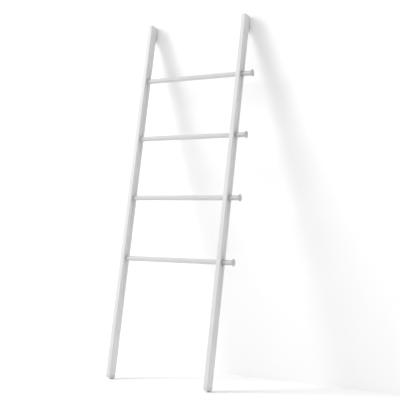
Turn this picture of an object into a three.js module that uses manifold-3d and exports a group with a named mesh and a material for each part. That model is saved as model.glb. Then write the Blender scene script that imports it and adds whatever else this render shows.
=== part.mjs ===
// Leaning ladder rack: two flat tube rails, four tube rungs, and four pegs on the right rail.
// Millimetres, +Z up. X runs along the rungs, and +Y is towards the wall that the rack leans on.
// The rack is built upright, then the whole frame is leaned back and set down on the floor.
import * as THREE from 'three';
import { mergeVertices } from 'three/addons/utils/BufferGeometryUtils.js';
import Module from 'manifold-3d';

const wasm = await Module();
wasm.setup();

// ---- driving dimensions -------------------------------------------------------------------
const LEAN = THREE.MathUtils.degToRad(11.7);
const RAIL_LENGTH = 1506;        // floor to top, along the rail, with its foot and cap
const RAIL_WIDTH = 19;
const RAIL_DEPTH = 40;
const RAIL_WALL = 1.2;
const RAIL_CORNER = 2.2;
const RAIL_SPACING = 457;        // centre to centre

const HEAD_RISE = 9;             // height of the rounding of a foot or cap
const HEAD_SIDE = 6;             // how far it comes in from the sides
const HEAD_END = 9.5;            // and from the front and the back
const HEAD_BAND = 2;             // straight part between the rounding and the tube
const FOOT_FLAT_CUT = 0.4;       // what the flat on the floor takes off a foot's lowest edge
const PLUG_DEPTH = 22;           // how far feet and caps reach into the tube
const PLUG_CORNER = 0.8;
const PLUG_TAPER = 1;            // how much a plug's tip comes in, over its last PLUG_LEAD
const PLUG_LEAD = 3;
const CORNER_GROWTH = 0.5;       // how fast a head's upright corners soften as it comes in
const CORNER_EDGE = 0.2;         // straight edge always left between two corners

const RUNG_COUNT = 4;
const RUNG_DIAMETER = 20;
const RUNG_WALL = 1;
const FIRST_RUNG = 491;          // along the rail, from the floor
const TOP_RUNG_DROP = 253;       // along the rail, down from its top
const INSERT_LENGTH = 16;

const SCREW_DIAMETER = 6;
const SCREW_CLEARANCE = 0.6;     // on the diameter, where a screw passes through
const SCREW_HEAD_DIAMETER = 11;
const SCREW_HEAD_HEIGHT = 3.2;
const SCREW_HEAD_RIM = 0.3;
const SCREW_CROWN = 5.2;         // flat top of the head, round the socket
const SCREW_SOCKET = 4;          // across the flats
const SOCKET_DEPTH = 2.2;
const SCREW_GRIP = 12;           // thread engaged in an insert or a peg
const THREAD_CHAMFER = 0.8;
const SPACER_WALL = 1.7;

const PEG_REACH = 49;            // rail face to the end of the disc
const DISC_DIAMETER = 29;
const DISC_THICKNESS = 3;
const DISC_DOME = 0.8;
const PEG_CHAMFER = 0.5;
const BORE_SPARE = 2;            // drilled beyond the end of the stud
const WASHER_LIP = 0.8;          // how far a washer shows round its peg
const WASHER_THICKNESS = 1.2;

const PAD_LENGTH = 36;           // the upright face; the wedge angle is the lean
const PAD_RAMP = 30;             // the rounded lower end, below the upright face
const PAD_WIDTH = 15;
const PAD_THIN = 1.5;            // thickness at its upper end
const PAD_EDGE = 1.2;            // corner taken off the upper end
const PAD_BELOW_TOP = 9;
const PAD_STEM = 4.6;
const PAD_STEM_REACH = 11;       // stem length inside the tube
const PAD_STEM_BELOW_PLUG = 10;  // stem's middle below the end of the cap's plug
const PAD_BARB = 1;              // how far the barb stands out round the stem
const PAD_BARB_LIP = 1;
const PAD_BARB_CLEARANCE = 0.8;  // from the tube's wall to the barb

const FIT = 0.3;                 // gap between pieces that touch
const ROUND = 28;                // segments round a rung or peg
const SMALL_ROUND = 16;          // segments round a screw or a hole
const HIDDEN_ROUND = 20;         // segments round a screw head, or a plug inside a rung
const DISC_ROUND = 32;
const CORNER_STEPS = 4;
const CURVE_STEPS = 6;
const CUT_OVER = 1;              // how far a cutter runs past the face that it opens

// ---- sizes that follow --------------------------------------------------------------------
const INNER_WIDTH = RAIL_WIDTH - 2 * RAIL_WALL;
const LEFT_X = -RAIL_SPACING / 2;
const RIGHT_X = RAIL_SPACING / 2;
const RIGHT_FACE = RIGHT_X + RAIL_WIDTH / 2;
const RUNG_END = RAIL_SPACING / 2 - RAIL_WIDTH / 2 - FIT;
const RUNG_PITCH = (RAIL_LENGTH - TOP_RUNG_DROP - FIRST_RUNG) / (RUNG_COUNT - 1);
const HEAD_HEIGHT = HEAD_RISE + HEAD_BAND;
// How far the middle of a foot's end is off the floor, since the rounding at its back touches first.
const FOOT_LOWEST = HEAD_RISE - (RAIL_DEPTH / 2 - HEAD_END) * Math.tan(LEAN)
  - Math.hypot(HEAD_RISE, HEAD_END * Math.tan(LEAN));
const FOOT_LIFT = -FOOT_LOWEST - FOOT_FLAT_CUT / Math.cos(LEAN);
const FOOT_HEIGHT = FOOT_LIFT + HEAD_HEIGHT;
const SCREW_HOLE = SCREW_DIAMETER + SCREW_CLEARANCE;
const SPACER_DIAMETER = SCREW_HOLE + 2 * SPACER_WALL;
const WASHER_DIAMETER = RUNG_DIAMETER + 2 * WASHER_LIP;
const INSERT_BORE = SCREW_DIAMETER + FIT;
const DISC_FACE = RIGHT_FACE + PEG_REACH;
const PEG_START = RIGHT_FACE + WASHER_THICKNESS + 2 * FIT;
const PEG_END = DISC_FACE - DISC_THICKNESS - FIT;
const PAD_TOP = RAIL_LENGTH - PAD_BELOW_TOP;
const PAD_THICK = PAD_THIN + PAD_LENGTH * Math.tan(LEAN);
const PAD_STEM_Z = RAIL_LENGTH - HEAD_HEIGHT - PLUG_DEPTH - PAD_STEM_BELOW_PLUG;
const PAD_HOLE = PAD_STEM + 2 * FIT;

// ---- materials ----------------------------------------------------------------------------
const COLOURS = {
  coat: [0xeeefee, 0.42, 0.0],
  plug: [0xe6e7e6, 0.5, 0.0],
  pad: [0xb4b6b6, 0.75, 0.0],
  washer: [0x8f9191, 0.7, 0.0],
  zinc: [0xb9bcc0, 0.35, 0.9],
  steel: [0x9a9da1, 0.4, 0.9],
};

function finish(key) {
  const [color, roughness, metalness] = COLOURS[key];
  return new THREE.MeshStandardMaterial({ color, roughness, metalness });
}

// ---- solids by manifold -------------------------------------------------------------------
function toSolid(geometry) {
  const bare = geometry.clone();
  bare.deleteAttribute('normal');
  bare.deleteAttribute('uv');
  const merged = mergeVertices(bare, 1e-4);
  return new wasm.Manifold(new wasm.Mesh({
    numProp: 3,
    vertProperties: new Float32Array(merged.attributes.position.array),
    triVerts: new Uint32Array(merged.index.array),
  }));
}

function toGeometry(solid) {
  const mesh = solid.getMesh();
  const geometry = new THREE.BufferGeometry();
  geometry.setAttribute('position', new THREE.BufferAttribute(mesh.vertProperties, 3));
  geometry.setIndex(new THREE.BufferAttribute(mesh.triVerts, 1));
  geometry.computeVertexNormals();
  return geometry;
}

function cut(body, tools) {
  let solid = toSolid(body);
  for (const tool of tools) solid = solid.subtract(toSolid(tool));
  return toGeometry(solid);
}

function join(first, second) {
  return toGeometry(toSolid(first).add(toSolid(second)));
}

// ---- profiles and turned shapes -----------------------------------------------------------
// A rectangle with rounded corners, as a list of points going round anticlockwise.
function roundedOutline(halfX, halfY, radius, steps) {
  const points = [];
  const corners = [[1, 1, 0], [-1, 1, 1], [-1, -1, 2], [1, -1, 3]];
  for (const [sx, sy, quarter] of corners) {
    for (let i = 0; i <= steps; i += 1) {
      const angle = (quarter + i / steps) * Math.PI / 2;
      points.push(new THREE.Vector2(
        sx * (halfX - radius) + radius * Math.cos(angle),
        sy * (halfY - radius) + radius * Math.sin(angle),
      ));
    }
  }
  return points;
}

// A cylinder lying along X from x0 to x1.
function barX(diameter, x0, x1, segments) {
  const bar = new THREE.CylinderGeometry(diameter / 2, diameter / 2, x1 - x0, segments);
  bar.rotateZ(-Math.PI / 2);
  bar.translate((x0 + x1) / 2, 0, 0);
  return bar;
}

// A tube lying along X from x0 to x1.
function tubeX(outer, inner, x0, x1, segments) {
  const ring = [
    new THREE.Vector2(inner / 2, x0),
    new THREE.Vector2(outer / 2, x0),
    new THREE.Vector2(outer / 2, x1),
    new THREE.Vector2(inner / 2, x1),
    new THREE.Vector2(inner / 2, x0),
  ];
  const tube = new THREE.LatheGeometry(ring, segments);
  tube.rotateZ(-Math.PI / 2);
  return tube;
}

// A shape turned about X: each point is [radius, x], and both ends lie on the axis.
function turnedX(profile, segments) {
  const turned = new THREE.LatheGeometry(profile.map(([r, x]) => new THREE.Vector2(r, x)), segments);
  turned.rotateZ(-Math.PI / 2);
  return turned;
}

// A closed skin over a stack of outlines, each given as points and a height.
function stackedSkin(layers) {
  const count = layers[0].points.length;
  const positions = [];
  for (const { points, height } of layers) {
    for (const p of points) positions.push(p.x, p.y, height);
  }
  const index = [];
  for (let k = 0; k < layers.length - 1; k += 1) {
    for (let i = 0; i < count; i += 1) {
      const j = (i + 1) % count;
      const low = k * count;
      const high = low + count;
      index.push(low + i, low + j, high + j, low + i, high + j, high + i);
    }
  }
  const last = (layers.length - 1) * count;
  for (let i = 1; i < count - 1; i += 1) {
    index.push(0, i + 1, i);
    index.push(last, last + i, last + i + 1);
  }
  const geometry = new THREE.BufferGeometry();
  geometry.setAttribute('position', new THREE.Float32BufferAttribute(positions, 3));
  geometry.setIndex(index);
  geometry.computeVertexNormals();
  return geometry;
}

// ---- the pieces, in the upright frame -----------------------------------------------------
const rungHeights = Array.from({ length: RUNG_COUNT }, (_, i) => FIRST_RUNG + i * RUNG_PITCH);

// The rail's outline, brought in by the given amounts.
function railOutline(fromSides, fromEnds, radius) {
  const halfX = RAIL_WIDTH / 2 - fromSides;
  const halfY = RAIL_DEPTH / 2 - fromEnds;
  return roundedOutline(halfX, halfY, Math.min(radius, halfX - CORNER_EDGE), CORNER_STEPS);
}

// Rectangular tube with a screw hole right through at each rung and a pad hole in its back wall.
function railGeometry() {
  const outline = new THREE.Shape(railOutline(0, 0, RAIL_CORNER));
  const inside = railOutline(RAIL_WALL, RAIL_WALL, RAIL_CORNER - RAIL_WALL);
  outline.holes.push(new THREE.Path(inside.reverse()));
  const tubeLength = RAIL_LENGTH - FOOT_HEIGHT - HEAD_HEIGHT;
  const tube = new THREE.ExtrudeGeometry(outline, { depth: tubeLength, bevelEnabled: false });
  tube.translate(0, 0, FOOT_HEIGHT);
  const holes = rungHeights.map((z) => {
    const hole = barX(SCREW_HOLE, -RAIL_WIDTH, RAIL_WIDTH, SMALL_ROUND);
    hole.translate(0, 0, z);
    return hole;
  });
  const holeLength = 2 * (RAIL_WALL + CUT_OVER);
  const padHole = new THREE.CylinderGeometry(PAD_HOLE / 2, PAD_HOLE / 2, holeLength, SMALL_ROUND);
  padHole.translate(0, RAIL_DEPTH / 2, PAD_STEM_Z);
  return cut(tube, [...holes, padHole]);
}

// A plug for the tube, as layers from the head's shoulder to the tapered tip. Up is 1 for a foot,
// whose plug rises, and -1 for a cap.
function plugLayers(shoulder, up) {
  const shank = RAIL_WALL + FIT;
  const tip = shank + PLUG_TAPER;
  return [
    { points: railOutline(0, 0, RAIL_CORNER), height: shoulder },
    { points: railOutline(shank, shank, PLUG_CORNER), height: shoulder },
    { points: railOutline(shank, shank, PLUG_CORNER),
      height: shoulder + up * (PLUG_DEPTH - PLUG_LEAD) },
    { points: railOutline(tip, tip, PLUG_CORNER), height: shoulder + up * PLUG_DEPTH },
  ];
}

// The rounded head of a foot or cap, as layers from its end to its full width.
function headLayers(end, up) {
  return Array.from({ length: CURVE_STEPS + 1 }, (_, i) => {
    const angle = (i / CURVE_STEPS) * Math.PI / 2;
    const comesIn = 1 - Math.sin(angle);
    const corner = RAIL_CORNER + CORNER_GROWTH * HEAD_SIDE * comesIn;
    return {
      points: railOutline(HEAD_SIDE * comesIn, HEAD_END * comesIn, corner),
      height: end + up * HEAD_RISE * (1 - Math.cos(angle)),
    };
  });
}

// Moulded foot: a plug that fills the tube, and a rounded head. When the rack leans, a small flat
// at the back of the head lies on the floor.
function footGeometry() {
  const foot = stackedSkin([...headLayers(FOOT_LIFT, 1), ...plugLayers(FOOT_HEIGHT - FIT, 1)]);
  const floor = new THREE.BoxGeometry(2 * RAIL_WIDTH, 2 * RAIL_DEPTH, RAIL_DEPTH);
  floor.translate(0, 0, -RAIL_DEPTH / 2);
  floor.rotateX(LEAN);
  return cut(foot, [floor]);
}

// Moulded top cap: the same head and plug, the other way up.
function capGeometry() {
  const plug = plugLayers(RAIL_LENGTH - HEAD_HEIGHT + FIT, -1);
  return stackedSkin([...plug.reverse(), ...headLayers(RAIL_LENGTH, -1).reverse()]);
}

// Soft wedge whose outer face stands upright, flat on the wall, when the rack leans. Its lower end
// is a long rounded ramp, and a stem with a barb holds it in the back wall of the rail.
function padGeometry() {
  const seat = RAIL_DEPTH / 2 + FIT;
  const faceLow = PAD_TOP - PAD_LENGTH;
  const face = (z) => seat + PAD_THIN + (PAD_TOP - z) * Math.tan(LEAN);
  const side = new THREE.Shape();
  side.moveTo(seat, faceLow - PAD_RAMP);
  for (let i = 1; i <= CURVE_STEPS; i += 1) {
    const share = i / CURVE_STEPS;
    side.lineTo(seat + PAD_THICK * Math.sin(share * Math.PI / 2), faceLow - PAD_RAMP * (1 - share));
  }
  side.lineTo(face(PAD_TOP - PAD_EDGE), PAD_TOP - PAD_EDGE);
  side.lineTo(seat + PAD_THIN - PAD_EDGE / 2, PAD_TOP);
  side.lineTo(seat, PAD_TOP);
  side.closePath();
  const wedge = new THREE.ExtrudeGeometry(side, { depth: PAD_WIDTH, bevelEnabled: false });
  wedge.translate(0, 0, -PAD_WIDTH / 2);
  // the shape's own axes (across, up, out of the page) become Y, Z and X
  const basis = new THREE.Matrix4().makeBasis(
    new THREE.Vector3(0, 1, 0), new THREE.Vector3(0, 0, 1), new THREE.Vector3(1, 0, 0),
  );
  wedge.applyMatrix4(basis);
  const inside = RAIL_DEPTH / 2 - RAIL_WALL;
  const barbBack = inside - PAD_BARB_CLEARANCE;
  const stemRadius = PAD_STEM / 2;
  const stem = new THREE.LatheGeometry([
    new THREE.Vector2(0, inside - PAD_STEM_REACH),
    new THREE.Vector2(stemRadius - PAD_BARB, inside - PAD_STEM_REACH),
    new THREE.Vector2(stemRadius + PAD_BARB, barbBack - PAD_BARB_LIP),
    new THREE.Vector2(stemRadius + PAD_BARB, barbBack),
    new THREE.Vector2(stemRadius, barbBack),
    new THREE.Vector2(stemRadius, seat + PAD_THIN),
    new THREE.Vector2(0, seat + PAD_THIN),
  ], SMALL_ROUND);
  stem.translate(0, 0, PAD_STEM_Z);
  return join(wedge, stem);
}

// Threaded plug inside a rung's end, with a plain bore for the screw or stud.
function insertGeometry(x0, x1) {
  const outer = RUNG_DIAMETER - 2 * RUNG_WALL - FIT;
  return tubeX(outer, INSERT_BORE, x0, x1, HIDDEN_ROUND);
}

// Button-head screw from outside the left rail, with a hexagonal socket.
function screwGeometry() {
  const under = LEFT_X - RAIL_WIDTH / 2 - FIT;
  const top = under - SCREW_HEAD_HEIGHT;
  const tip = LEFT_X + RAIL_WIDTH / 2 + FIT + SCREW_GRIP;
  const crown = SCREW_CROWN / 2;
  const dome = Array.from({ length: CURVE_STEPS + 1 }, (_, i) => {
    const angle = (i / CURVE_STEPS) * Math.PI / 2;
    return [
      crown + (SCREW_HEAD_DIAMETER / 2 - crown) * Math.sin(angle),
      top + (SCREW_HEAD_HEIGHT - SCREW_HEAD_RIM) * (1 - Math.cos(angle)),
    ];
  });
  const body = turnedX([
    [0, top],
    ...dome,
    [SCREW_HEAD_DIAMETER / 2, under],
    [SCREW_DIAMETER / 2, under],
    [SCREW_DIAMETER / 2, tip - THREAD_CHAMFER],
    [SCREW_DIAMETER / 2 - THREAD_CHAMFER, tip],
    [0, tip],
  ], HIDDEN_ROUND);
  const socketRadius = SCREW_SOCKET / Math.sqrt(3);
  const socket = new THREE.CylinderGeometry(socketRadius, socketRadius, 2 * SOCKET_DEPTH, 6);
  socket.rotateZ(-Math.PI / 2);
  socket.translate(top, 0, 0);
  return cut(body, [socket]);
}

// Peg: a round bar with a blind hole for its stud in the end that faces the rail.
function pegGeometry() {
  const body = turnedX([
    [0, PEG_START],
    [RUNG_DIAMETER / 2 - PEG_CHAMFER, PEG_START],
    [RUNG_DIAMETER / 2, PEG_START + PEG_CHAMFER],
    [RUNG_DIAMETER / 2, PEG_END],
    [0, PEG_END],
  ], ROUND);
  const boreEnd = PEG_START + SCREW_GRIP + BORE_SPARE;
  return cut(body, [barX(INSERT_BORE, PEG_START - CUT_OVER, boreEnd, SMALL_ROUND)]);
}

// Disc on the peg's end: thin, with a round rim and a face that is domed a little.
function discGeometry() {
  const back = DISC_FACE - DISC_THICKNESS;
  const rim = (DISC_THICKNESS - DISC_DOME) / 2;
  const flat = DISC_DIAMETER / 2 - rim;
  const profile = [[0, back]];
  for (let i = 0; i <= CURVE_STEPS; i += 1) {
    const angle = (i / CURVE_STEPS - 0.5) * Math.PI;
    profile.push([flat + rim * Math.cos(angle), back + rim + rim * Math.sin(angle)]);
  }
  for (let i = CURVE_STEPS - 1; i >= 0; i -= 1) {
    const out = i / CURVE_STEPS;
    profile.push([flat * out, DISC_FACE - DISC_DOME * out * out]);
  }
  return turnedX(profile, DISC_ROUND);
}

// ---- assembly -----------------------------------------------------------------------------
const group = new THREE.Group();
const leaning = new THREE.Group();
leaning.rotation.x = -LEAN;
group.add(leaning);

function place(name, geometry, key, x = 0, z = 0) {
  const mesh = new THREE.Mesh(geometry, finish(key));
  mesh.name = name;
  mesh.position.set(x, 0, z);
  leaning.add(mesh);
}

for (const [side, x] of [['left', LEFT_X], ['right', RIGHT_X]]) {
  place(`${side}_rail`, railGeometry(), 'coat', x);
  place(`${side}_foot_plug`, footGeometry(), 'plug', x);
  place(`${side}_top_cap`, capGeometry(), 'plug', x);
  place(`${side}_wall_pad`, padGeometry(), 'pad', x);
}

const spacerHalf = INNER_WIDTH / 2 - FIT;
rungHeights.forEach((z, i) => {
  const n = i + 1;
  const rungInner = RUNG_DIAMETER - 2 * RUNG_WALL;
  place(`rung_${n}`, tubeX(RUNG_DIAMETER, rungInner, -RUNG_END, RUNG_END, ROUND), 'coat', 0, z);
  const insertStart = RUNG_END - INSERT_LENGTH;
  place(`rung_left_insert_${n}`, insertGeometry(-RUNG_END, -insertStart), 'zinc', 0, z);
  place(`rung_right_insert_${n}`, insertGeometry(insertStart, RUNG_END), 'zinc', 0, z);
  for (const [side, x] of [['left', LEFT_X], ['right', RIGHT_X]]) {
    const spacer = tubeX(SPACER_DIAMETER, SCREW_HOLE, -spacerHalf, spacerHalf, SMALL_ROUND);
    place(`${side}_spacer_${n}`, spacer, 'zinc', x, z);
  }
  place(`rung_screw_${n}`, screwGeometry(), 'steel', 0, z);
  const studStart = RIGHT_X - RAIL_WIDTH / 2 - FIT - SCREW_GRIP;
  const studEnd = PEG_START + SCREW_GRIP;
  place(`peg_stud_${n}`, barX(SCREW_DIAMETER, studStart, studEnd, SMALL_ROUND), 'steel', 0, z);
  const washerStart = RIGHT_FACE + FIT;
  const washer = tubeX(WASHER_DIAMETER, SCREW_HOLE, washerStart, washerStart + WASHER_THICKNESS,
    ROUND);
  place(`peg_washer_${n}`, washer, 'washer', 0, z);
  place(`peg_${n}`, pegGeometry(), 'coat', 0, z);
  place(`peg_disc_${n}`, discGeometry(), 'coat', 0, z);
});

// Stand the rack on the floor with its bounding box centred on the origin.
group.updateMatrixWorld(true);
const box = new THREE.Box3().setFromObject(group, true);
group.position.set(-(box.min.x + box.max.x) / 2, -(box.min.y + box.max.y) / 2, -box.min.z);

export default group;
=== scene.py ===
# A white ladder rack that leans on a wall: two tube rails, four rungs to drape quilts over, and
# a short peg with a disc end outside the right rail, in line with each rung.
import math

import bmesh
import bpy
from mathutils import Matrix, Vector


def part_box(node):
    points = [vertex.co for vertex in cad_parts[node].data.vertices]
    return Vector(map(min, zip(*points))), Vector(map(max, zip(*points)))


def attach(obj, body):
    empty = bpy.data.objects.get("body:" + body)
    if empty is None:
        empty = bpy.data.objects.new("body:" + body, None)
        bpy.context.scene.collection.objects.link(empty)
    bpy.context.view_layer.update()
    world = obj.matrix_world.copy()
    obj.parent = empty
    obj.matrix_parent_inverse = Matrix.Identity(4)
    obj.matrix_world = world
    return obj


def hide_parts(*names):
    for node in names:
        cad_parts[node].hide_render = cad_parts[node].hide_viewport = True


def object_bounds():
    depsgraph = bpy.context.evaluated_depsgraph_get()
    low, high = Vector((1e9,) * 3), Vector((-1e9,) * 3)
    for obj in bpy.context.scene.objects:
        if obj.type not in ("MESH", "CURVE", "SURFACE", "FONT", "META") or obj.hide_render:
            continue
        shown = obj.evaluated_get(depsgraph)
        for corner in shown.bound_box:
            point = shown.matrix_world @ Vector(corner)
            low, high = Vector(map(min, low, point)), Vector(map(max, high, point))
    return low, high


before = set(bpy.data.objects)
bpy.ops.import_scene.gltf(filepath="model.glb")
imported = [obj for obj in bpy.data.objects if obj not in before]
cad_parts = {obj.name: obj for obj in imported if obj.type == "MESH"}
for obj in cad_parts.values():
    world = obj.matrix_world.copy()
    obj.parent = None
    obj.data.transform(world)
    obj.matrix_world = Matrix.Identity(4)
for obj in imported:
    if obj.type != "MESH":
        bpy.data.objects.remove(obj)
cad_low, cad_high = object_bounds()


# ---- The rails --------------------------------------------------------------------------------
# Each rail is a length of 19 x 40 mm rectangular steel tube, powder-coated satin white. A screw or
# a stud goes right through it at each rung, and the wall pad's stem pushes into its back.
def middle(node):
    """The middle of a node's box."""
    low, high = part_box(node)
    return (Vector(low) + Vector(high)) / 2


rail_length = 1.506
rail_width = 0.019
rail_depth = 0.040
rail_wall = 0.0012
rail_corner = 0.0022
corner_flat = 0.0003
foot_lift = 0.00197  # the middle of a foot's end is this far off the floor
cap_height = 0.011
foot_height = foot_lift + cap_height
plug_depth = 0.022
stem_below_plug = 0.010
stem_up = rail_length - cap_height - plug_depth - stem_below_plug
screw_hole = 0.0066
screw_hole_length = 0.024
stem_hole = 0.0052
stem_hole_length = 0.006
first_rung_up = 0.491
rung_count = 4
lowest_rung = middle("rung_1")
top_rung = middle("rung_4")
rung_step = (top_rung - lowest_rung) / (rung_count - 1)
up_the_rail = rung_step.normalized()
rail_foot = lowest_rung - up_the_rail * first_rung_up
lean_back = Matrix.Translation((0, rail_foot.y, rail_foot.z)) @ Matrix.Rotation(
    -math.atan2(up_the_rail.y, up_the_rail.z), 4, "X"
)
rail_x = {side: middle(side + "_rail").x for side in ("left", "right")}


def rounded_outline(half_x, half_y, radius, flat, steps=8):
    """A rounded rectangle going round once. A short flat beside each bend keeps long faces flat."""
    points = []
    for quarter, (sx, sy) in enumerate(((1, 1), (-1, 1), (-1, -1), (1, -1))):
        bend = []
        for i in range(steps + 1):
            angle = (quarter + i / steps) * math.pi / 2
            x = sx * (half_x - radius) + radius * math.cos(angle)
            y = sy * (half_y - radius) + radius * math.sin(angle)
            bend.append(Vector((x, y)))
        start = (quarter * math.pi / 2) - math.pi / 2
        before = bend[0] + flat * Vector((math.cos(start), math.sin(start)))
        after = bend[-1] + flat * Vector((-math.sin(start + math.pi), math.cos(start + math.pi)))
        points += [before, *bend, after]
    return points


def skin(rings, closed=False):
    """A mesh over a stack of rings of points. Closed joins the last ring to the first."""
    bm = bmesh.new()
    rows = [[bm.verts.new(p) for p in ring] for ring in rings]
    pairs = list(zip(rows, rows[1:]))
    if closed:
        pairs.append((rows[-1], rows[0]))
    for low, high in pairs:
        for i in range(len(low)):
            j = (i + 1) % len(low)
            bm.faces.new((low[i], low[j], high[j], high[i]))
    if not closed:
        bm.faces.new(rows[0][::-1])
        bm.faces.new(rows[-1])
    return bm


same_point = 1e-7
crisp_corner = math.radians(38)


def piece(name, bm, finish, place=None):
    """A finished mesh in the room: outward faces, smooth bends, crisp corners."""
    bmesh.ops.remove_doubles(bm, verts=bm.verts, dist=same_point)
    bmesh.ops.recalc_face_normals(bm, faces=bm.faces)
    if place is not None:
        bm.transform(place)
    mesh = bpy.data.meshes.new(name)
    bm.to_mesh(mesh)
    bm.free()
    mesh.polygons.foreach_set("use_smooth", [True] * len(mesh.polygons))
    mesh.set_sharp_from_angle(angle=crisp_corner)
    mesh.materials.append(finish)
    made = bpy.data.objects.new(name, mesh)
    bpy.context.scene.collection.objects.link(made)
    return made


def finished(made):
    """Turns an object's live modifiers into its plain mesh."""
    depsgraph = bpy.context.evaluated_depsgraph_get()
    mesh = bpy.data.meshes.new_from_object(made.evaluated_get(depsgraph))
    made.modifiers.clear()
    made.data = mesh


def combined(made, operation, other):
    """Cuts another object out of one, or joins it on, and removes the other."""
    change = made.modifiers.new("combined", "BOOLEAN")
    change.operation = operation
    change.solver = "EXACT"
    change.object = other
    finished(made)
    bpy.data.objects.remove(other)


def fit(made, slot, *stands_for):
    """Puts a piece on the rack, in place of the plain solids that it stands for."""
    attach(made, "root")
    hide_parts(*stands_for)


def surface(name, color, roughness, metallic=0.0):
    """A material with its shader, its output and the object's own coordinates."""
    material = bpy.data.materials.new(name)
    material.use_nodes = True
    tree = material.node_tree
    tree.nodes.clear()
    shader = tree.nodes.new("ShaderNodeBsdfPrincipled")
    output = tree.nodes.new("ShaderNodeOutputMaterial")
    place = tree.nodes.new("ShaderNodeTexCoord")
    shader.inputs["Base Color"].default_value = (*color, 1)
    shader.inputs["Roughness"].default_value = roughness
    shader.inputs["Metallic"].default_value = metallic
    tree.links.new(shader.outputs["BSDF"], output.inputs["Surface"])
    return material, tree, shader, place.outputs["Object"]


def speckle(tree, place, scale, detail, roughness=0.5, stretch=None):
    """Uneven noise over the surface, drawn out along an axis if it is stretched."""
    noise = tree.nodes.new("ShaderNodeTexNoise")
    noise.inputs["Scale"].default_value = scale
    noise.inputs["Detail"].default_value = detail
    noise.inputs["Roughness"].default_value = roughness
    if stretch is not None:
        mapping = tree.nodes.new("ShaderNodeMapping")
        mapping.inputs["Scale"].default_value = stretch
        tree.links.new(place, mapping.inputs["Vector"])
        place = mapping.outputs["Vector"]
    tree.links.new(place, noise.inputs["Vector"])
    return noise.outputs["Fac"]


noise_low = 0.3
noise_high = 0.7


def spread(tree, value, low, high):
    """Remaps a noise value to a working range."""
    remap = tree.nodes.new("ShaderNodeMapRange")
    remap.inputs["From Min"].default_value = noise_low
    remap.inputs["From Max"].default_value = noise_high
    remap.inputs["To Min"].default_value = low
    remap.inputs["To Max"].default_value = high
    tree.links.new(value, remap.inputs["Value"])
    return remap.outputs["Result"]


def tint(tree, shader, value, dark, light):
    """Lets the colour drift between two close tones."""
    ramp = tree.nodes.new("ShaderNodeValToRGB")
    ramp.color_ramp.elements[0].position = noise_low
    ramp.color_ramp.elements[0].color = (*dark, 1)
    ramp.color_ramp.elements[1].position = noise_high
    ramp.color_ramp.elements[1].color = (*light, 1)
    tree.links.new(value, ramp.inputs["Fac"])
    tree.links.new(ramp.outputs["Color"], shader.inputs["Base Color"])


def raise_skin(tree, shader, value, distance, strength, under=None):
    """A fine relief, laid over another one if that is given."""
    bump = tree.nodes.new("ShaderNodeBump")
    bump.inputs["Distance"].default_value = distance
    bump.inputs["Strength"].default_value = strength
    tree.links.new(value, bump.inputs["Height"])
    if under is not None:
        tree.links.new(under, bump.inputs["Normal"])
    tree.links.new(bump.outputs["Normal"], shader.inputs["Normal"])
    return bump.outputs["Normal"]


def powder_coat(name, dark, light):
    """Satin powder coat: a fine orange peel, a little uneven in gloss and in tone."""
    coat, tree, shader, place = surface(name, light, 0.4)
    peel = raise_skin(tree, shader, speckle(tree, place, 420, 2), 0.00012, 0.5)
    raise_skin(tree, shader, speckle(tree, place, 1900, 3, 0.6), 0.00003, 0.4, peel)
    gloss = spread(tree, speckle(tree, place, 55, 4), 0.34, 0.47)
    tree.links.new(gloss, shader.inputs["Roughness"])
    tint(tree, shader, speckle(tree, place, 7, 3), dark, light)
    shader.inputs["Specular IOR Level"].default_value = 0.45
    return coat


rail_coat = powder_coat("rail coat", (0.635, 0.642, 0.638), (0.658, 0.665, 0.661))


def bore(cutters, across, length, spot, turn):
    """Adds a round cutter for a hole, in the upright rail, to the mesh of cutters."""
    bmesh.ops.create_cone(
        cutters, cap_ends=True, segments=24, radius1=across / 2, radius2=across / 2,
        depth=length, matrix=Matrix.Translation(spot) @ Matrix.Rotation(math.pi / 2, 4, turn),
    )


for side in ("left", "right"):
    tube_ends = (foot_height, rail_length - cap_height)
    rings = []
    for inset, corner, ends in (
        (0, rail_corner, tube_ends), (rail_wall, rail_corner - rail_wall, tube_ends[::-1]),
    ):
        half_x, half_y = rail_width / 2 - inset, rail_depth / 2 - inset
        outline = rounded_outline(half_x, half_y, corner, corner_flat)
        rings += [[(p.x + rail_x[side], p.y, z) for p in outline] for z in ends]
    rail = piece(side + "_rail_tube", skin(rings, closed=True), rail_coat, lean_back)
    holes = bmesh.new()
    for i in range(rung_count):
        up = first_rung_up + i * rung_step.length
        bore(holes, screw_hole, screw_hole_length, (rail_x[side], 0, up), "Y")
    bore(holes, stem_hole, stem_hole_length, (rail_x[side], rail_depth / 2, stem_up), "X")
    cutter = piece("hole cutter", holes, rail_coat, lean_back)
    combined(rail, "DIFFERENCE", cutter)
    fit(rail, "rail_coat", side + "_rail")


# ---- The feet ---------------------------------------------------------------------------------
# A moulded white foot plugs the bottom of each rail. Its edges are well rounded, and when the rack
# leans, a small flat at the back of it lies on the floor.
floor_tone_height = 0.006
floor_tone_share = 0.35


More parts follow.
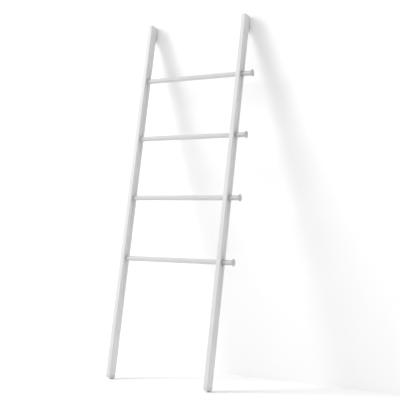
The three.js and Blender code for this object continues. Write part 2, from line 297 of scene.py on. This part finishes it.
def moulded_plastic(name, dark, light, floor_tone):
    """Fine matt moulding texture, turning a patchy darker grey within a few mm of the floor."""
    plastic, tree, shader, place = surface(name, light, 0.5)
    raise_skin(tree, shader, speckle(tree, place, 2600, 2), 0.00004, 0.6)
    gloss = spread(tree, speckle(tree, place, 90, 3), 0.45, 0.6)
    tree.links.new(gloss, shader.inputs["Roughness"])
    # A patchy darker grey over the lowest few mm, darker towards the floor.
    height = tree.nodes.new("ShaderNodeSeparateXYZ")
    tree.links.new(place, height.inputs["Vector"])
    near_floor = tree.nodes.new("ShaderNodeMapRange")
    near_floor.inputs["From Min"].default_value = 0.0
    near_floor.inputs["From Max"].default_value = floor_tone_height
    near_floor.inputs["To Min"].default_value = floor_tone_share
    near_floor.inputs["To Max"].default_value = 0.0
    tree.links.new(height.outputs["Z"], near_floor.inputs["Value"])
    patchy = tree.nodes.new("ShaderNodeMath")
    patchy.operation = "MULTIPLY"
    tree.links.new(near_floor.outputs["Result"], patchy.inputs[0])
    tree.links.new(spread(tree, speckle(tree, place, 400, 4), 0.3, 1), patchy.inputs[1])
    tint(tree, shader, speckle(tree, place, 30, 3), dark, light)
    clean = shader.inputs["Base Color"].links[0].from_socket
    blend = tree.nodes.new("ShaderNodeMix")
    blend.data_type = "RGBA"
    blend.inputs["B"].default_value = (*floor_tone, 1)
    tree.links.new(patchy.outputs["Value"], blend.inputs["Factor"])
    tree.links.new(clean, blend.inputs["A"])
    tree.links.new(blend.outputs["Result"], shader.inputs["Base Color"])
    return plastic


moulding_dark = (0.63, 0.637, 0.633)
moulding_light = (0.655, 0.662, 0.658)
foot_plastic = moulded_plastic("foot plastic", moulding_dark, moulding_light, (0.42, 0.42, 0.41))
seam = 0.0003  # between two pieces that touch
head_side = 0.006  # a head comes in by this much from the sides
head_end = 0.0095  # and by this much from the front and the back
head_rise = 0.009
head_corner_growth = 0.003
head_flat = 0.0001
least_edge = 0.0003  # left straight between two corners of a head
shoulder_edge = 0.0004
shoulder_corner = rail_corner - 0.0002
plug_corner = 0.0009
plug_lead = 0.003
plug_taper = 0.001


def rail_outline(from_sides, from_ends, corner):
    """The rail's outline, brought in by the given amounts."""
    half_x = rail_width / 2 - from_sides
    half_y = rail_depth / 2 - from_ends
    return rounded_outline(half_x, half_y, min(corner, half_x - least_edge), head_flat)


def plug_rings(shoulder, up):
    """A plug for the tube, from its softened shoulder to its tapered tip."""
    shank = rail_wall + seam
    rings = []
    for inset, corner, rise in (
        (0, rail_corner, -shoulder_edge),
        (shoulder_edge, shoulder_corner, 0),
        (shank, plug_corner, 0),
        (shank, plug_corner, plug_depth - plug_lead),
        (shank + plug_taper, plug_corner, plug_depth),
    ):
        outline = rail_outline(inset, inset, corner)
        rings.append([(p.x, p.y, shoulder + up * rise) for p in outline])
    return rings


def head_rings(end, up, steps=12):
    """The rounded head of a foot or cap, from its end to its full width."""
    rings = []
    for i in range(steps + 1):
        angle = i / steps * math.pi / 2
        comes_in = 1 - math.sin(angle)
        corner = rail_corner + head_corner_growth * comes_in
        outline = rail_outline(head_side * comes_in, head_end * comes_in, corner)
        rings.append([(p.x, p.y, end + up * head_rise * (1 - math.cos(angle))) for p in outline])
    return rings


for side in ("left", "right"):
    foot_shape = skin(head_rings(foot_lift, 1) + plug_rings(foot_height - seam, 1))
    floor_normal = lean_back.to_3x3().inverted() @ Vector((0, 0, 1))
    trim = bmesh.ops.bisect_plane(
        foot_shape, geom=foot_shape.verts[:] + foot_shape.edges[:] + foot_shape.faces[:],
        plane_co=(0, 0, 0), plane_no=floor_normal, clear_inner=True,
    )
    cut_edges = [e for e in trim["geom_cut"] if isinstance(e, bmesh.types.BMEdge)]
    bmesh.ops.edgeloop_fill(foot_shape, edges=cut_edges)
    place = lean_back @ Matrix.Translation((rail_x[side], 0, 0))
    foot = piece(side + "_foot", foot_shape, foot_plastic, place)
    fit(foot, "foot_plastic", side + "_foot_plug")


# ---- The top caps -----------------------------------------------------------------------------
# The same moulding, the other way up and not trimmed, closes the top of each rail.
cap_plastic = moulded_plastic("cap plastic", moulding_dark, moulding_light, (0.6, 0.6, 0.6))
for side in ("left", "right"):
    place = lean_back @ Matrix.Translation((rail_x[side], 0, 0))
    rings = plug_rings(rail_length - cap_height + seam, -1)[::-1] + head_rings(rail_length, -1)[::-1]
    cap = piece(side + "_cap", skin(rings), cap_plastic, place)
    fit(cap, "cap_plastic", side + "_top_cap")


# ---- The wall pads ----------------------------------------------------------------------------
# A soft grey wedge sits on the back of each rail near the top. Its outer face stands upright on
# the wall, and a stem with a wider tip holds it in the rail.
def soft_rubber(name, dark, light):
    """Matt rubber with a fine grain and a slight bloom."""
    rubber, tree, shader, place = surface(name, light, 0.75)
    raise_skin(tree, shader, speckle(tree, place, 1500, 4, 0.7), 0.00008, 0.7)
    gloss = spread(tree, speckle(tree, place, 120, 3), 0.68, 0.88)
    tree.links.new(gloss, shader.inputs["Roughness"])
    tint(tree, shader, speckle(tree, place, 60, 5, 0.6), dark, light)
    shader.inputs["Specular IOR Level"].default_value = 0.3
    return rubber


def round_ring(radius, x, sides):
    ring = []
    for i in range(sides):
        angle = i / sides * 2 * math.pi
        ring.append((x, radius * math.cos(angle), radius * math.sin(angle)))
    return ring


def turned(profile, sides, closed=False):
    """A shape turned about X. Each point of the profile is a radius and a place along X."""
    return skin([round_ring(radius, x, sides) for radius, x in profile], closed)


pad_rubber = soft_rubber("pad rubber", (0.47, 0.475, 0.475), (0.55, 0.555, 0.555))
pad_length = 0.036
pad_ramp = 0.030
pad_width = 0.015
pad_thin = 0.0015
pad_edge = 0.0012
pad_softening = 0.0008
pad_below_top = 0.009
ramp_steps = 12
stem_radius = 0.0023
stem_reach = 0.011  # inside the rail
stem_root = 0.003  # inside the pad
stem_pole = 0.0002
barb_out = 0.001
barb_lip = 0.001
barb_clearance = 0.0008

pad_seat = rail_depth / 2 + seam
stem_inside = rail_depth / 2 - rail_wall
stem_tip = stem_inside - stem_reach
barb = stem_inside - barb_clearance
stem_profile = [
    (stem_pole, stem_tip), (stem_radius - barb_out, stem_tip),
    (stem_radius + barb_out, barb - barb_lip), (stem_radius + barb_out, barb),
    (stem_radius, barb), (stem_radius, pad_seat + stem_root),
    (stem_pole, pad_seat + stem_root),
]
pad_top = rail_length - pad_below_top
pad_low = pad_top - pad_length
slope = up_the_rail.y / up_the_rail.z
pad_thick = pad_thin + pad_length * slope
pad_profile = [(pad_seat, pad_low - pad_ramp)]
for i in range(1, ramp_steps + 1):
    share = i / ramp_steps
    out = pad_thick * math.sin(share * math.pi / 2)
    pad_profile.append((pad_seat + out, pad_low - pad_ramp * (1 - share)))
pad_profile += [
    (pad_seat + pad_thin + pad_edge * slope, pad_top - pad_edge),
    (pad_seat + pad_thin - pad_edge / 2, pad_top),
    (pad_seat, pad_top),
]
for side in ("left", "right"):
    rings = [[(x, y, z) for y, z in pad_profile] for x in (-pad_width / 2, pad_width / 2)]
    place = lean_back @ Matrix.Translation((rail_x[side], 0, 0))
    pad = piece(side + "_pad", skin(rings), pad_rubber, place)
    soften = pad.modifiers.new("softened edges", "BEVEL")
    soften.width = pad_softening
    soften.segments = 4
    soften.limit_method = "ANGLE"
    soften.angle_limit = math.radians(30)
    finished(pad)
    inward = place @ Matrix.Translation((0, 0, stem_up)) @ Matrix.Rotation(math.pi / 2, 4, "Z")
    stem = piece("stem", turned(stem_profile, sides=32), pad_rubber, inward)
    combined(pad, "UNION", stem)
    fit(pad, "pad_rubber", side + "_wall_pad")


# ---- The rungs --------------------------------------------------------------------------------
# Four lengths of 20 mm round steel tube, coated like the rails, sit between them. One is turned
# here about its own middle line, and a node tree repeats it up the rails.
def repeat_up_the_rails():
    """A node tree that copies a shape to each rung's height, and rolls each copy about X."""
    tree = bpy.data.node_groups.new("repeat up the rails", "GeometryNodeTree")
    sockets = {}
    for label, kind in (
        ("Geometry", "Geometry"), ("Count", "Int"), ("First", "Vector"), ("Step", "Vector"),
        ("Turn", "Float"), ("Seed", "Int"), ("Finish", "Material"),
    ):
        made = tree.interface.new_socket(label, in_out="INPUT", socket_type="NodeSocket" + kind)
        sockets[label] = made.identifier
    tree.interface.new_socket("Geometry", in_out="OUTPUT", socket_type="NodeSocketGeometry")
    given = tree.nodes.new("NodeGroupInput")
    result = tree.nodes.new("NodeGroupOutput")
    line = tree.nodes.new("GeometryNodeMeshLine")
    line.mode = "OFFSET"
    roll = tree.nodes.new("FunctionNodeRandomValue")
    roll.data_type = "FLOAT"
    about_x = tree.nodes.new("ShaderNodeCombineXYZ")
    rotation = tree.nodes.new("FunctionNodeEulerToRotation")
    copies = tree.nodes.new("GeometryNodeInstanceOnPoints")
    real = tree.nodes.new("GeometryNodeRealizeInstances")
    coated = tree.nodes.new("GeometryNodeSetMaterial")
    floats = [s for s in roll.inputs if s.type == "VALUE" and s.enabled]
    roll_out = next(s for s in roll.outputs if s.enabled)
    for a, b in (
        (given.outputs["Count"], line.inputs["Count"]),
        (given.outputs["First"], line.inputs["Start Location"]),
        (given.outputs["Step"], line.inputs["Offset"]),
        (given.outputs["Turn"], floats[1]),
        (given.outputs["Seed"], roll.inputs["Seed"]),
        (roll_out, about_x.inputs["X"]),
        (about_x.outputs["Vector"], rotation.inputs["Euler"]),
        (line.outputs["Mesh"], copies.inputs["Points"]),
        (given.outputs["Geometry"], copies.inputs["Instance"]),
        (rotation.outputs["Rotation"], copies.inputs["Rotation"]),
        (copies.outputs["Instances"], real.inputs["Geometry"]),
        (real.outputs["Geometry"], coated.inputs["Geometry"]),
        (given.outputs["Finish"], coated.inputs["Material"]),
        (coated.outputs["Geometry"], result.inputs["Geometry"]),
    ):
        tree.links.new(a, b)
    floats[0].default_value = 0
    return tree, sockets


repeat_tree, repeat_sockets = repeat_up_the_rails()


def repeated(name, unit, finish, turn=0.0, seed=1):
    """Copies a shape turned about X to each rung's middle line, as one plain mesh."""
    made = piece(name, unit, finish)
    repeat = made.modifiers.new("up the rails", "NODES")
    repeat.node_group = repeat_tree
    repeat[repeat_sockets["Count"]] = rung_count
    repeat[repeat_sockets["First"]] = (0, lowest_rung.y, lowest_rung.z)
    repeat[repeat_sockets["Step"]] = (0, rung_step.y, rung_step.z)
    repeat[repeat_sockets["Turn"]] = turn
    repeat[repeat_sockets["Seed"]] = seed
    repeat[repeat_sockets["Finish"]] = finish
    finished(made)
    return made


def numbered(name):
    """The names of one piece at every rung, from the bottom up."""
    return [f"{name}_{i + 1}" for i in range(rung_count)]


# The rungs' coat is the rails' coat in a darker tone: painted shade, not a different paint.
rung_coat = powder_coat("rung coat darkened as painted shade", (0.545, 0.551, 0.547), (0.57, 0.577, 0.573))
rung_radius = 0.010
rung_bore = 0.009
tube_sides = 64
pressed = 0.00027  # closes the gap to a neighbour, so that the two are seen to meet
rung_low, rung_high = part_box("rung_1")
rung_start = rung_low[0] - pressed
rung_end = rung_high[0] + pressed
rung_edge = 0.0003
rungs = repeated(
    "rungs",
    turned(
        [
            (rung_bore, rung_start), (rung_radius - rung_edge, rung_start),
            (rung_radius, rung_start + rung_edge), (rung_radius, rung_end - rung_edge),
            (rung_radius - rung_edge, rung_end), (rung_bore, rung_end),
        ],
        tube_sides, closed=True,
    ),
    rung_coat,
)
fit(rungs, "rung_coat", *numbered("rung"))


# ---- The pegs ---------------------------------------------------------------------------------
# Each peg is a coated steel bar outside the right rail, in line with its rung. A threaded stud
# joins the two through the rail, and a small weld joins the peg to its disc.
# The pegs' coat is the rails' coat in a darker tone: painted shade for the rail's shadow over them.
peg_coat = powder_coat("peg coat darkened as painted shade", (0.475, 0.48, 0.477), (0.5, 0.506, 0.503))
peg_low, peg_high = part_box("peg_1")
peg_end = peg_high[0] + pressed
peg_edge = 0.0006
peg_edge_middle = 0.0002
weld = 0.0016
weld_steps = 6
stud_bore = 0.00315
stud_bore_depth = 0.014
peg_profile = [
    (stud_bore, peg_low[0] + stud_bore_depth),
    (stud_bore, peg_low[0]),
    (rung_radius - peg_edge, peg_low[0]),
    (rung_radius - peg_edge_middle, peg_low[0] + peg_edge_middle),
    (rung_radius, peg_low[0] + peg_edge),
    (rung_radius, peg_end - weld),
]
for i in range(1, weld_steps + 1):
    angle = i / weld_steps * math.pi / 2
    out = weld * (1 - math.cos(angle))
    along = weld * (1 - math.sin(angle))
    peg_profile.append((rung_radius + out, peg_end - along))
pegs = repeated("pegs", turned(peg_profile, tube_sides), peg_coat)
fit(pegs, "peg_coat", *numbered("peg"))


# ---- The discs --------------------------------------------------------------------------------
# A thin pressed disc on the end of each peg stops a strap or a hanger from sliding off. Its rim
# is rounded and its face is slightly domed.
# The discs' coat is the same darker tone as the pegs': painted shade on the rails' coat.
disc_coat = powder_coat("disc coat darkened as painted shade", (0.475, 0.48, 0.477), (0.5, 0.506, 0.503))
disc_low, disc_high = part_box("peg_disc_1")
disc_radius = 0.0145
disc_dome = 0.0008
disc_pole = 0.0005
disc_sides = 72
rim = (disc_high[0] - disc_low[0] - disc_dome) / 2
rim_steps = 12
rim_flat = 0.002
dome_steps = 8
disc_profile = [(disc_pole, disc_low[0]), (disc_radius - rim - rim_flat, disc_low[0])]
for i in range(rim_steps + 1):
    angle = i / rim_steps * math.pi - math.pi / 2
    out = disc_radius - rim + rim * math.cos(angle)
    disc_profile.append((out, disc_low[0] + rim + rim * math.sin(angle)))
for i in range(1, dome_steps + 1):
    share = 1 - i / dome_steps
    rise = disc_dome * (1 - share * share)
    disc_profile.append((max((disc_radius - rim) * share, disc_pole), disc_low[0] + 2 * rim + rise))
discs = repeated("discs", turned(disc_profile, disc_sides), disc_coat)
fit(discs, "disc_coat", *numbered("peg_disc"))


# ---- The washers ------------------------------------------------------------------------------
# A thin rubber washer under each peg keeps the peg from marking the rail's coat. Its dark grey
# is painted shade for the shadow at each peg's root.
# The washer's dark grey tone is painted shade at the peg's root.
washer_rubber = soft_rubber("washer rubber darkened as painted shade", (0.4, 0.405, 0.405), (0.46, 0.465, 0.465))
washer_low, washer_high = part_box("peg_washer_1")
washer_start = washer_low[0] - pressed
washer_end = washer_high[0] + pressed
washer_radius = 0.0108
washer_bore = 0.0033
washer_edge = 0.0004
edge_middle = washer_edge * 0.3
washers = repeated(
    "washers",
    turned(
        [
            (washer_bore, washer_start), (washer_radius - washer_edge, washer_start),
            (washer_radius - edge_middle, washer_start + edge_middle),
            (washer_radius, washer_start + washer_edge), (washer_radius, washer_end - washer_edge),
            (washer_radius - edge_middle, washer_end - edge_middle),
            (washer_radius - washer_edge, washer_end), (washer_bore, washer_end),
        ],
        tube_sides, closed=True,
    ),
    washer_rubber,
)
fit(washers, "washer_rubber", *numbered("peg_washer"))


# ---- The screws -------------------------------------------------------------------------------
# Zinc-plated M6 button-head screws go through the left rail from outside into the rungs. Each
# has a hexagonal socket, and each stopped at its own angle.
def zinc_plate(name, dark, light):
    """Bright zinc: fine turning marks round the axis and a cloudy passivated tone."""
    plate, tree, shader, place = surface(name, light, 0.35, metallic=1.0)
    lines = speckle(tree, place, 900, 2, 0.5, stretch=(6, 1, 1))
    raise_skin(tree, shader, lines, 0.00002, 0.5)
    gloss = spread(tree, speckle(tree, place, 300, 4, 0.6), 0.25, 0.5)
    tree.links.new(gloss, shader.inputs["Roughness"])
    tint(tree, shader, speckle(tree, place, 140, 3), dark, light)
    return plate


screw_zinc = zinc_plate("screw zinc", (0.5, 0.51, 0.53), (0.68, 0.69, 0.7))
screw_low, screw_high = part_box("rung_screw_1")
head_height = 0.0032
head_top = screw_low[0]
head_under = head_top + head_height + pressed
head_radius = 0.0055
head_dome = 0.0029
dome_top_radius = 0.0026
socket_flat = 0.002  # from the middle to each flat of the socket
socket_depth = 0.0022
socket_edge = 0.0001
drill_tip = 0.0007
drill_tip_radius = 0.0004
shank_radius = 0.003
shank_tip_radius = 0.0022
shank_tip = 0.001
screw_sides = 48


def hexagon_ring(x):
    ring = []
    for i in range(screw_sides):
        angle = i / screw_sides * 2 * math.pi
        from_flat = (angle + math.pi / 6) % (math.pi / 3) - math.pi / 6
        radius = socket_flat / math.cos(from_flat)
        ring.append((x, radius * math.cos(angle), radius * math.sin(angle)))
    return ring


head_steps = 8
screw_rings = [
    round_ring(drill_tip_radius, head_top + socket_depth + drill_tip, screw_sides),
    hexagon_ring(head_top + socket_depth),
    hexagon_ring(head_top + socket_edge),
    round_ring(dome_top_radius, head_top, screw_sides),
]
for i in range(1, head_steps + 1):
    angle = i / head_steps * math.pi / 2
    radius = dome_top_radius + (head_radius - dome_top_radius) * math.sin(angle)
    down = head_dome * (1 - math.cos(angle))
    screw_rings.append(round_ring(radius, head_top + down, screw_sides))
screw_rings += [
    round_ring(head_radius, head_under, screw_sides),
    round_ring(shank_radius, head_under, screw_sides),
    round_ring(shank_radius, screw_high[0] - shank_tip, screw_sides),
    round_ring(shank_tip_radius, screw_high[0], screw_sides),
]
screws = repeated("screws", skin(screw_rings), screw_zinc, turn=1.0, seed=5)
fit(screws, "screw_steel", *numbered("rung_screw"))


# ---- The hidden fittings ----------------------------------------------------------------------
# Inside the tubes are the threaded inserts in the rungs' ends, the spacer sleeves that keep the
# rails from being pulled in, and the studs of the pegs. All are zinc-plated steel.
fitting_zinc = zinc_plate("fitting zinc", (0.45, 0.46, 0.48), (0.6, 0.61, 0.62))
for name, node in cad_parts.items():
    if any(word in name for word in ("insert", "spacer", "stud")):
        node.data.materials.clear()
        node.data.materials.append(fitting_zinc)


# ---- The room ---------------------------------------------------------------------------------
# A pale floor, and the pale wall that the rack leans on. The wall shows from its front only, so
# that the back of the rack can be looked at too.
def matt_paint(name, color, one_sided):
    """Flat paint. One-sided paint is clear from behind."""
    paint, tree, shader, _ = surface(name, color, 0.9)
    shader.inputs["Specular IOR Level"].default_value = 0.0
    if one_sided:
        output = next(n for n in tree.nodes if n.type == "OUTPUT_MATERIAL")
        side_seen = tree.nodes.new("ShaderNodeNewGeometry")
        clear = tree.nodes.new("ShaderNodeBsdfTransparent")
        choose = tree.nodes.new("ShaderNodeMixShader")
        tree.links.new(side_seen.outputs["Backfacing"], choose.inputs["Fac"])
        tree.links.new(shader.outputs["BSDF"], choose.inputs[1])
        tree.links.new(clear.outputs["BSDF"], choose.inputs[2])
        tree.links.new(choose.outputs["Shader"], output.inputs["Surface"])
    return paint


def sheet_of_room(name, corners, finish):
    mesh = bpy.data.meshes.new(name)
    mesh.from_pydata(corners, [], [(0, 1, 2, 3)])
    mesh.materials.append(finish)
    made = bpy.data.objects.new(name, mesh)
    bpy.context.scene.collection.objects.link(made)


wall_y = cad_high[1] + 0.0004
floor_z = -0.0003
reach = 9
wall_top = 7
floor_left, floor_right = (-reach, wall_y, floor_z), (reach, wall_y, floor_z)
sheet_of_room(
    "floor", [(-reach, -reach, floor_z), (reach, -reach, floor_z), floor_right, floor_left],
    matt_paint("floor paint", (0.93, 0.93, 0.93), one_sided=False),
)
sheet_of_room(
    "wall", [floor_left, floor_right, (reach, wall_y, wall_top), (-reach, wall_y, wall_top)],
    matt_paint("wall paint", (0.945, 0.945, 0.945), one_sided=True),
)


# ---- The light and the camera -----------------------------------------------------------------
# A tall soft light stands on the left, in front of the rack, and an even pale light fills the
# room. The camera is level, low and to the right.
world = bpy.data.worlds.new("studio")
bpy.context.scene.world = world
world.use_nodes = True
background = world.node_tree.nodes["Background"]
background.inputs["Color"].default_value = (1, 1, 1, 1)
background.inputs["Strength"].default_value = 0.73


def soft_light(name, place, aim, width, height, power):
    data = bpy.data.lights.new(name, "AREA")
    data.shape = "RECTANGLE"
    data.size = width
    data.size_y = height
    data.energy = power
    lamp = bpy.data.objects.new(name, data)
    bpy.context.scene.collection.objects.link(lamp)
    lamp.location = place
    lamp.rotation_euler = (Vector(aim) - Vector(place)).to_track_quat("-Z", "Y").to_euler()


soft_light("key", place=(-5.4, -2.84, 4.26), aim=(0, 0, 0.8), width=1.9, height=4.3, power=335)

camera_data = bpy.data.cameras.new("camera")
camera_data.lens = 77.06
camera_data.sensor_width = 36
camera = bpy.data.objects.new("camera", camera_data)
bpy.context.scene.collection.objects.link(camera)
between_rails = (rail_x["left"] + rail_x["right"]) / 2
camera_right = 1.8817
camera_back = 2.7615
camera_up = 0.721
camera_turn = math.radians(31.4)
camera.location = (between_rails + camera_right, rail_foot.y - camera_back, camera_up)
camera.rotation_euler = (math.pi / 2, 0, camera_turn)
bpy.context.scene.camera = camera
bpy.context.scene.view_settings.view_transform = "Standard"
